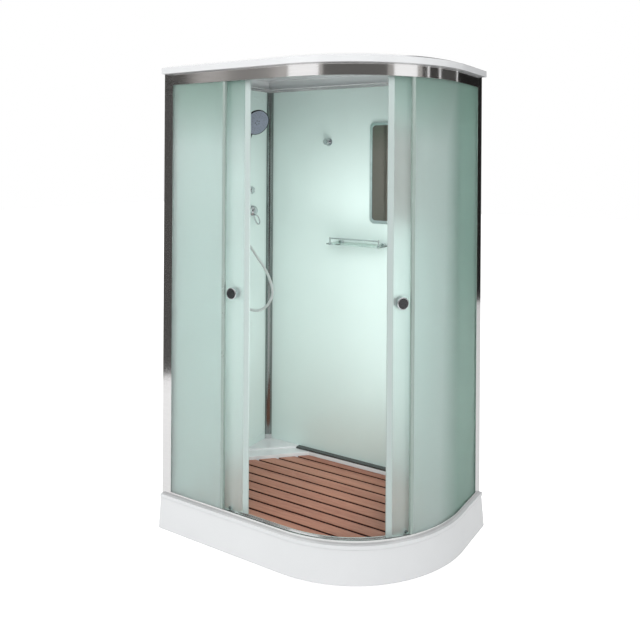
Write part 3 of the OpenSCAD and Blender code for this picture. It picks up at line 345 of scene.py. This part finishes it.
def glassFinish(name, spec):
    # deeper where the pane is seen at a flat angle, and painted shade near its top, under the top rail
    made, tree, shader, where = newFinish(name, {
        "Transmission Weight": spec["transmission"], "IOR": glass["index"]})
    cloud = noise(tree, where, *glass["cloud"])
    face = mixColor(tree, cloud, opaque(spec["color"]), opaque(spec["cloudy"]))
    slant = tree.nodes.new("ShaderNodeLayerWeight")
    feed(tree, slant.inputs["Blend"], glass["facing"])
    grazing = mapRange(tree, slant.outputs["Facing"], *spec["slant"])
    # painted shade: the colour goes deeper towards the pane's top, under the top rail
    foot, top, most = spec["shade"]
    shaded = mapRange(tree, splitVector(tree, where)["Z"], foot, top, 0.0, most)
    deeper = arithmetic(tree, "MAXIMUM", grazing, shaded)
    feedAll(tree, shader, {
        "Base Color": mixColor(tree, deeper, face, opaque(spec["deep"])),
        "Roughness": mapRange(tree, cloud, *glass["roughFrom"], *spec["rough"])})
    bump(tree, shader, noise(tree, where, *glass["etching"]), spec["bump"], glass["etchDepth"])
    return made


# the hand shower's head: its face's middle and three directions come from the joints that carry it
headUp = Vector(joints["hand_shower_turn"]["axis"])
headOut = Vector(joints["spray_face_turn"]["axis"])
head = {
    "middle": Vector(joints["spray_face_turn"]["pos_m"]),
    "turn": Matrix((-headUp, headOut.cross(-headUp), headOut)).transposed().to_euler(),
    "nozzleRings": [(0.0312, 12, 0.0016), (0.0408, 18, 0.0016), (0.0504, 24, 0.0016)],
    "dents": (0.0105, 5, 0.0032),  # like each ring of nozzles: radius, count, size of a dot
    "dotEdge": (0.8, 1.1),  # the shares of its size between which a dot fades
    "rim": (0.0595, 0.0601),  # the radii between which the rim's black begins
    "rimFoot": (-0.0135, -0.0125),  # the heights between which it begins, from the face
    "bump": 0.15,
    "grainDepth": 0.0003,
}


def distance(tree, x, y):
    square = arithmetic(tree, "MULTIPLY", y, y)
    return arithmetic(tree, "SQRT", arithmetic(tree, "MULTIPLY_ADD", x, x, square))


def headCoordinates(tree, where):
    # distance from the face's axis, angle about it, and height over the face
    local = tree.nodes.new("ShaderNodeMapping")
    local.vector_type = "TEXTURE"
    feedAll(tree, local.inputs, {"Vector": where, "Location": head["middle"], "Rotation": head["turn"]})
    x, y, height = splitVector(tree, local.outputs[0])
    return distance(tree, x, y), arithmetic(tree, "ARCTAN2", y, x), height


def dotRing(tree, reach, angle, radius, count, size):
    # 1 on each dot of a ring, 0 between them
    turns = arithmetic(tree, "MULTIPLY", angle, count / (2 * math.pi))
    offset = arithmetic(tree, "SUBTRACT", turns, arithmetic(tree, "ROUND", turns))
    across = arithmetic(tree, "MULTIPLY", offset, 2 * math.pi * radius / count)
    inward = arithmetic(tree, "SUBTRACT", reach, radius)
    full, faded = (size * share for share in head["dotEdge"])
    return mapRange(tree, distance(tree, across, inward), full, faded, 1.0, 0.0)


def sprayFinish(name, spec):
    # grey-blue face with dark nozzles and a ring of dents round its middle
    made, tree, shader, where = newFinish(name, {})
    marks = handlingMarks(tree, where, spec)
    reach, angle, _ = headCoordinates(tree, where)
    dots = dotRing(tree, reach, angle, *head["dents"])
    for ring in head["nozzleRings"]:
        dots = arithmetic(tree, "MAXIMUM", dots, dotRing(tree, reach, angle, *ring))
    feedAll(tree, shader, {
        "Base Color": mixColor(tree, dots, marks["Color"], opaque(spec["dots"])),
        "Roughness": marks["Roughness"]})
    bump(tree, shader, marks["Height"], head["bump"], head["grainDepth"])
    return made


def headFinish(name, spec):
    # polished like the other fittings, with a black rolled rim round the face
    made, tree, shader, where = newFinish(name, {})
    marks = handlingMarks(tree, where, spec)
    reach, _, height = headCoordinates(tree, where)
    outer = mapRange(tree, reach, *head["rim"])
    rim = arithmetic(tree, "MULTIPLY", outer, mapRange(tree, height, *head["rimFoot"]))
    feedAll(tree, shader, {
        "Base Color": mixColor(tree, rim, marks["Color"], opaque(spec["rim"])),
        "Metallic": mapRange(tree, rim, 0.0, 1.0, 1.0, 0.0),
        "Roughness": marks["Roughness"]})
    return made


finishes = {
    "acrylic": handledFinish("white acrylic", {
        "clean": (0.72, 0.73, 0.74), "worn": (0.69, 0.70, 0.71), "rough": (0.10, 0.2), "scale": 3.0,
        "plain": {"Coat Weight": 0.3, "Coat Roughness": 0.06}}),
    "zinc_steel": handledFinish("zinc plated steel", {
        "clean": (0.50, 0.51, 0.53), "worn": (0.36, 0.37, 0.38), "rough": (0.3, 0.55), "scale": 18.0,
        "plain": {"Metallic": 0.85}, "bump": 0.2}),
    "black_plastic": handledFinish("black plastic", {
        "clean": (0.02, 0.02, 0.022), "worn": (0.035, 0.035, 0.036), "rough": (0.4, 0.6), "bump": 0.4}),
    "grey_plastic": handledFinish("grey plastic", {
        "clean": (0.42, 0.44, 0.44), "worn": (0.36, 0.38, 0.38), "rough": (0.35, 0.5), "bump": 0.2}),
    "chrome": handledFinish("polished chrome", {
        "clean": (0.72, 0.73, 0.75), "worn": (0.62, 0.63, 0.65), "rough": (0.05, 0.12), "scale": 30.0,
        "plain": {"Metallic": 1.0}}),
    "wood": woodFinish("oiled slats", {
        "light": (0.44, 0.19, 0.125), "dark": (0.25, 0.09, 0.058), "paintedShadeColor": (0.022, 0.006, 0.005),
        "pitch": 0.07}),
    "dark_wood": woodFinish("oiled battens", {
        "light": (0.2, 0.1, 0.07), "dark": (0.1, 0.05, 0.035), "paintedShadeColor": (0.03, 0.012, 0.01),
        "pitch": 0.35}),
    "polished_rail": drawnFinish("polished aluminium", {
        "clean": (0.90, 0.89, 0.89), "worn": (0.76, 0.75, 0.75), "rough": (0.07, 0.14),
        "stretch": (0.02, 0.02, 1), "plain": {"Metallic": 1.0}}),
    # painted shade: the polished aluminium again, darker, for the corner column standing in shade
    "painted_shade_column": drawnFinish("painted shade column", {
        "clean": (0.36, 0.375, 0.37), "worn": (0.30, 0.31, 0.305), "rough": (0.12, 0.2),
        "stretch": (1, 1, 0.02), "plain": {"Metallic": 1.0}}),
    "dark_strip": drawnFinish("dark strip", {
        "clean": (0.07, 0.075, 0.075), "worn": (0.12, 0.12, 0.12), "rough": (0.2, 0.4),
        "stretch": (0.02, 1, 1), "plain": {"Metallic": 0.6}}),
    "wall_panel": handledFinish("back painted panel", {
        "clean": (0.62, 0.73, 0.70), "worn": (0.59, 0.70, 0.67), "rough": (0.14, 0.22), "scale": 1.2,
        "plain": {"Coat Weight": 0.4, "Coat Roughness": 0.08}}),
    # slant: from facing to grazing; shade: painted shade, from this height up to that one, and how much
    "frosted_glass": glassFinish("frosted glass", {
        "transmission": 0.78, "color": (0.89, 0.985, 0.965), "cloudy": (0.85, 0.955, 0.935),
        "deep": (0.27, 0.48, 0.39), "slant": (0.42, 0.67), "shade": (1.68, 1.95, 0.6),
        "rough": (0.36, 0.42), "bump": 0.08}),
    "clear_glass": glassFinish("clear glass", {
        "transmission": 0.9, "color": (0.86, 0.95, 0.92), "cloudy": (0.82, 0.93, 0.9),
        "deep": (0.35, 0.6, 0.5), "slant": (0.6, 0.95), "shade": (1.68, 1.95, 0.0),
        "rough": (0.03, 0.05), "bump": 0.02}),
    "clear_seal": handledFinish("translucent seal", {
        "clean": (0.50, 0.60, 0.56), "worn": (0.44, 0.54, 0.50), "rough": (0.25, 0.4),
        "plain": {"Transmission Weight": 0.35}}),
    "white_seal": handledFinish("white seal", {
        "clean": (0.48, 0.56, 0.545), "worn": (0.45, 0.525, 0.51), "rough": (0.25, 0.4)}),
    "white_plastic": handledFinish("white plastic", {
        "clean": (0.75, 0.75, 0.74), "worn": (0.6, 0.6, 0.58), "rough": (0.3, 0.45), "scale": 60.0}),
    "black_rubber": handledFinish("black rubber", {
        "clean": (0.018, 0.018, 0.018), "worn": (0.035, 0.034, 0.033), "rough": (0.6, 0.8),
        "bump": 0.5}),
    # painted reflection: the mirror's dark brown colour stands in for a brown reflection in its glass
    "mirror": handledFinish("mirror with painted reflection", {
        "clean": (0.27, 0.21, 0.19), "worn": (0.25, 0.20, 0.18), "rough": (0.03, 0.05),
        "plain": {"Metallic": 1.0}}),
    "brass": handledFinish("brass", {
        "clean": (0.7, 0.5, 0.2), "worn": (0.5, 0.34, 0.14), "rough": (0.2, 0.35),
        "plain": {"Metallic": 1.0}}),
    "copper": handledFinish("copper pipe", {
        "clean": (0.72, 0.36, 0.22), "worn": (0.45, 0.22, 0.14), "rough": (0.2, 0.4), "scale": 14.0,
        "plain": {"Metallic": 1.0}}),
    "spray_plastic": sprayFinish("spray face", {
        "clean": (0.21, 0.235, 0.29), "worn": (0.17, 0.19, 0.235), "dots": (0.03, 0.035, 0.045),
        "rough": (0.25, 0.4), "scale": 40.0}),
    "shower_head": headFinish("polished head", {
        "clean": (0.72, 0.73, 0.75), "worn": (0.62, 0.63, 0.65), "rim": (0.012, 0.013, 0.014),
        "rough": (0.05, 0.12), "scale": 30.0}),
    "hose_steel": handledFinish("wound steel strip", {
        "clean": (0.66, 0.68, 0.68), "worn": (0.60, 0.62, 0.62), "rough": (0.26, 0.36), "scale": 20.0,
        "plain": {"Metallic": 0.6}}),
    "knob_inlay": handledFinish("dark inlay", {
        "clean": (0.012, 0.014, 0.016), "worn": (0.03, 0.032, 0.034), "rough": (0.08, 0.2), "scale": 60.0,
        "plain": {"Coat Weight": 0.5}}),
}
print("finishes made:", len(finishes))

creaseAngle = math.radians(32)  # an edge sharper than this stays sharp in the shading


def smoothShape(shape):
    for face in shape.faces:
        face.smooth = True
    for edge in shape.edges:
        edge.smooth = len(edge.link_faces) == 2 and edge.calc_face_angle(0) < creaseAngle


def newObject(name, shape, finish):
    mesh = bpy.data.meshes.new(name)
    shape.to_mesh(mesh)
    shape.free()
    mesh.materials.append(finish)
    made = bpy.data.objects.new(name, mesh)
    bpy.context.scene.collection.objects.link(made)
    return made


# shower hose: a tube wound from flat strip, along the route of the CAD one
hose = {
    "radius": 0.007,
    "pitch": 0.0034,
    "groove": 0.86,
    "sides": 14,
    "route": [
        (-0.5330, 0.0550, 1.3021), (-0.5260, 0.0550, 1.2900), (-0.510, 0.080, 1.246),
        (-0.465, 0.120, 1.155), (-0.428, 0.150, 1.081), (-0.405, 0.166, 1.007), (-0.402, 0.164, 0.955),
        (-0.420, 0.142, 0.908), (-0.452, 0.106, 0.890), (-0.490, 0.064, 0.914), (-0.520, 0.030, 0.980),
        (-0.540, 0.012, 1.090), (-0.550, 0.006, 1.220), (-0.556, 0.014, 1.350), (-0.564, 0.050, 1.470),
        (-0.568, 0.082, 1.545), (-0.5651, 0.0940, 1.5976), (-0.5590, 0.0940, 1.6102),
    ],
}


def splinePoint(p, q, r, s, t):
    # a smooth curve from q to r, as t goes from 0 to 1
    bend = (2 * p - 5 * q + 4 * r - s) * t ** 2
    return 0.5 * (2 * q + (r - p) * t + bend + (3 * q - p - 3 * r + s) * t ** 3)


def denseRoute(points, step):
    points = [Vector(p) for p in points]
    last = len(points) - 1
    fine = []
    for k in range(last):
        p, q, r, s = (points[max(0, min(last, k + j))] for j in (-1, 0, 1, 2))
        straight = k in (0, last - 1)  # inside the fittings at both ends
        count = max(2, int((r - q).length / step * 4))
        shares = [j / count for j in range(count)]
        fine += [q.lerp(r, t) if straight else splinePoint(p, q, r, s, t) for t in shares]
    fine.append(points[last])
    # equal steps along the fine line, an even number of them for the strip's ridges and grooves
    total = sum((b - a).length for a, b in zip(fine, fine[1:]))
    steps = int(total / step / 2) * 2
    even, walked, k = [fine[0]], 0.0, 0
    for j in range(1, steps):
        target = total * j / steps
        while walked + (fine[k + 1] - fine[k]).length < target:
            walked += (fine[k + 1] - fine[k]).length
            k += 1
        even.append(fine[k].lerp(fine[k + 1], (target - walked) / (fine[k + 1] - fine[k]).length))
    return even + [fine[-1]], total


def ringFrames(points):
    # one frame for each point, turned along the route without twisting about it
    frames = []
    side = Vector((0, 1, 0))
    for k, point in enumerate(points):
        along = (points[min(k + 1, len(points) - 1)] - points[max(k - 1, 0)]).normalized()
        side = (side - along * side.dot(along)).normalized()
        turn = Matrix((side, along.cross(side), along)).transposed().to_4x4()
        frames.append(Matrix.Translation(point) @ turn)
    return frames


def makeHose(spec):
    points, length = denseRoute(spec["route"], spec["pitch"] / 2)
    ridge, groove = spec["radius"], spec["radius"] * spec["groove"]
    rings = []
    for k, ring in enumerate(ringFrames(points)):
        radius = ridge if k % 2 == 0 else groove
        rings.append(ring @ Matrix.Diagonal((radius, radius, 1, 1)))
    shape = bmesh.new()
    bmesh.ops.create_circle(shape, segments=spec["sides"], radius=1.0, matrix=rings[0])
    rim = list(shape.edges)
    firstRim = rim
    for old, new in zip(rings, rings[1:]):
        made = bmesh.ops.extrude_edge_only(shape, edges=rim)["geom"]
        verts = [item for item in made if isinstance(item, bmesh.types.BMVert)]
        edges = [item for item in made if isinstance(item, bmesh.types.BMEdge)]
        rim = [edge for edge in edges if all(vert in verts for vert in edge.verts)]
        bmesh.ops.transform(shape, matrix=new @ old.inverted(), verts=verts)
    bmesh.ops.holes_fill(shape, edges=firstRim + rim, sides=spec["sides"])
    bmesh.ops.recalc_face_normals(shape, faces=shape.faces)
    smoothShape(shape)
    piece = newObject("wound_hose", shape, finishes["hose_steel"])
    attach(piece, "cabin")
    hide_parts("shower_hose")
    print("hose made, length", round(length, 3))


makeHose(hose)

# the CAD nodes' own shapes, dressed
dressing = {
    "mergeDistance": 0.00001,
    "flatAngle": math.radians(0.2),
    "edgeSegments": 2,
}
# widths of the softened edges, in millimetres; nodes that aren't named keep sharp ones
softEdges = {
    "tray": 1.4, "apron": 0.8, "duckboard_slats": 1.6, "duckboard_battens": 1.0, "roof": 2.5,
    "top_rail": 0.4, "bottom_rail": 0.4, "tray_frame": 1.5, "corner_column_foot": 1.0,
    "wall_top_profile": 1.0, "wall_foot_strip": 0.8, "mirror_frame": 0.8, "shelf_glass": 0.8,
    "back_wall": 0.3, "left_wall": 0.5, "left_door_glass": 0.5, "right_door_glass": 0.5,
    "left_fixed_glass": 0.5, "right_fixed_glass": 0.5,
    "left_door_seals": 0.4, "right_door_seals": 0.4,
}
# nodes whose look is more than their slot's; the corner column gets a darker copy of the polished aluminium, as
# painted shade
ownFinish = {"hand_shower": "shower_head", "corner_column": "painted_shade_column"}


def softenEdges(piece, width):
    soft = piece.modifiers.new("soft edges", "BEVEL")
    soft.width = width
    soft.segments = dressing["edgeSegments"]
    soft.limit_method = "ANGLE"
    soft.angle_limit = creaseAngle
    soft.harden_normals = True
    soft.use_clamp_overlap = True


def dressNode(node):
    # a merged copy of the CAD mesh, smooth where it curves and sharp at its edges
    shape = bmesh.new()
    shape.from_mesh(nodes[node].data)
    bmesh.ops.remove_doubles(shape, verts=shape.verts, dist=dressing["mergeDistance"])
    bmesh.ops.dissolve_limit(shape, angle_limit=dressing["flatAngle"], verts=shape.verts,
                             edges=shape.edges)
    smoothShape(shape)
    piece = newObject(node + "_finished", shape, finishes[ownFinish.get(node, slotOf[node])])
    if node in softEdges:
        softenEdges(piece, softEdges[node] / 1000)
    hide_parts(node)
    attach(piece, bodyOf[node])


hardNodes = [node for node in nodes if node != "shower_hose"]
for node in hardNodes:
    dressNode(node)
print("nodes dressed:", len(hardNodes))

# dark discs in the recessed faces of each door's knobs
knobs = {
    "radius": 0.0212,
    "thickness": 0.0006,
    "segments": 64,
    "insets": (0.0280, 0.0753),  # how far inside the doors' outer curve the two discs lie
    "curveCentre": Vector((0.05, 0.15, 0)),
    "curveRadius": 0.55,
    # the left leaf was drawn closed, on the round corner, and stands open by this much
    "shift": {"left": Vector((-0.295, 0, 0)), "right": Vector((0, 0, 0))},
}


def makeInlays(side):
    low, high = (Vector(point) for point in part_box(side + "_door_knobs"))
    shift = knobs["shift"][side]
    middle = (low + high) / 2 - shift
    out = middle - knobs["curveCentre"]
    angle = math.atan2(out.x, -out.y)
    turn = Matrix.Rotation(angle, 4, "Z") @ Matrix.Rotation(math.radians(-90), 4, "X")
    shape = bmesh.new()
    for inset in knobs["insets"]:
        reach = Vector((math.sin(angle), -math.cos(angle), 0)) * (knobs["curveRadius"] - inset)
        spot = knobs["curveCentre"] + reach + Vector((0, 0, middle.z)) + shift
        bmesh.ops.create_cone(shape, cap_ends=True, segments=knobs["segments"],
                              radius1=knobs["radius"], radius2=knobs["radius"],
                              depth=knobs["thickness"], matrix=Matrix.Translation(spot) @ turn)
    bmesh.ops.recalc_face_normals(shape, faces=shape.faces)
    smoothShape(shape)
    piece = newObject(side + "_knob_inlays", shape, finishes["knob_inlay"])
    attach(piece, side + "_door")


for side in ("left", "right"):
    makeInlays(side)
print("knob inlays made")

# floor, world and lamps
studio = {
    "floorSize": 40.0,
    "floorColor": (0.9, 0.9, 0.9),
    "floorRoughness": 0.8,
    "floorGlow": 0.6,
    "worldLight": 0.72,
}
lamps = {
    "key": {"place": (2.6, -3.6, 3.6), "aim": (0, 0, 1.0), "size": (3.0, 3.0), "power": 105},
    "fill": {"place": (-3.4, -3.2, 2.4), "aim": (0, 0, 1.1), "size": (3.0, 3.0), "power": 50},
    # inside the cabin, in place of the light that passes real panes
    "upward": {"place": (-0.05, 0.02, 1.3), "aim": (-0.05, 0.02, 2.0), "size": (0.3, 0.3), "power": 0.9},
    "inside": {"place": (0.3, -0.1, 0.98), "aim": (-0.5, 0.22, 0.98), "size": (0.45, 1.15), "power": 5.0},
}
# dark screens round the cabin, which only polished surfaces show
screens = {
    "steps": 8,
    "tint": (1, 0.97, 0.93),
    "rows": [
        {"distance": 6.0, "height": 5.0,  # each arc: from, to (degrees), grey
         "arcs": [(-50, -43, 0.06), (-43, -38.5, 0.42), (-38.5, -33, 0.22), (-33, -29, 0.45),
                  (1, 5, 0.4), (5, 63, 0.13), (63, 69, 0.35), (92, 97, 0.4), (97, 103, 0.08),
                  (105, 117, 0.05), (119, 144, 0.07), (146, 200, 0.015)]},
        # a low one that the left post shows over most of its height
        {"distance": 3.0, "height": 2.1, "arcs": [(-53, -38, 0.08)]},
    ],
}


def makeScreen(row, start, end, grey):
    made, tree = newMaterial("screen grey")
    glow = tree.nodes.new("ShaderNodeEmission")
    feed(tree, glow.inputs["Color"], opaque(grey * tint for tint in screens["tint"]))
    feed(tree, tree.nodes["Material Output"].inputs["Surface"], glow.outputs[0])
    shape = bmesh.new()
    foot = Vector((math.sin(math.radians(start)), -math.cos(math.radians(start)), 0)) * row["distance"]
    verts = [shape.verts.new(foot), shape.verts.new(foot + Vector((0, 0, row["height"])))]
    edge = shape.edges.new(verts)
    bmesh.ops.spin(shape, geom=verts + [edge], cent=(0, 0, 0), axis=(0, 0, 1),
                   angle=math.radians(end - start), steps=screens["steps"])
    screen = newObject("screen", shape, made)
    screen.visible_camera = screen.visible_diffuse = False
    screen.visible_transmission = screen.visible_shadow = False


def makeFloor():
    made, tree = newMaterial("studio floor")
    shader = tree.nodes["Principled BSDF"]
    feedAll(tree, shader.inputs, {
        "Base Color": opaque(studio["floorColor"]), "Roughness": studio["floorRoughness"]})
    # pale to the camera by a glow that only it sees, so the object's shadow stays
    rays = tree.nodes.new("ShaderNodeLightPath")
    glow = tree.nodes.new("ShaderNodeEmission")
    feedAll(tree, glow.inputs, {
        "Color": (1, 1, 1, 1),
        "Strength": arithmetic(tree, "MULTIPLY", rays.outputs["Is Camera Ray"], studio["floorGlow"])})
    both = tree.nodes.new("ShaderNodeAddShader")
    feed(tree, both.inputs[0], shader.outputs[0])
    feed(tree, both.inputs[1], glow.outputs[0])
    feed(tree, tree.nodes["Material Output"].inputs["Surface"], both.outputs[0])
    shape = bmesh.new()
    bmesh.ops.create_grid(shape, x_segments=1, y_segments=1, size=studio["floorSize"] / 2)
    newObject("floor", shape, made)


def makeWorld():
    # white to the camera and in what polished and clear surfaces show, dimmer as light
    world = bpy.data.worlds.new("studio")
    bpy.context.scene.world = world
    world.use_nodes = True
    tree = world.node_tree
    rays = tree.nodes.new("ShaderNodeLightPath")
    seen = rays.outputs["Is Camera Ray"]
    for label in ("Is Glossy Ray", "Is Transmission Ray"):
        seen = arithmetic(tree, "MAXIMUM", seen, rays.outputs[label])
    feedAll(tree, tree.nodes["Background"].inputs, {
        "Color": (1, 1, 1, 1), "Strength": mapRange(tree, seen, 0.0, 1.0, studio["worldLight"], 1.0)})


def makeLamp(name, spec):
    data = bpy.data.lights.new(name, "AREA")
    data.shape = "RECTANGLE"
    data.size, data.size_y = spec["size"]
    data.energy = spec["power"]
    lamp = bpy.data.objects.new(name, data)
    bpy.context.scene.collection.objects.link(lamp)
    lamp.visible_camera = lamp.visible_glossy = False
    way = Vector(spec["aim"]) - Vector(spec["place"])
    turn = way.to_track_quat("-Z", "Y").to_matrix().to_4x4()
    lamp.matrix_world = Matrix.Translation(spec["place"]) @ turn


makeFloor()
makeWorld()
for name, spec in lamps.items():
    makeLamp(name, spec)
for row in screens["rows"]:
    for start, end, grey in row["arcs"]:
        makeScreen(row, start, end, grey)
bpy.context.scene.view_settings.view_transform = "Standard"
print("studio made")
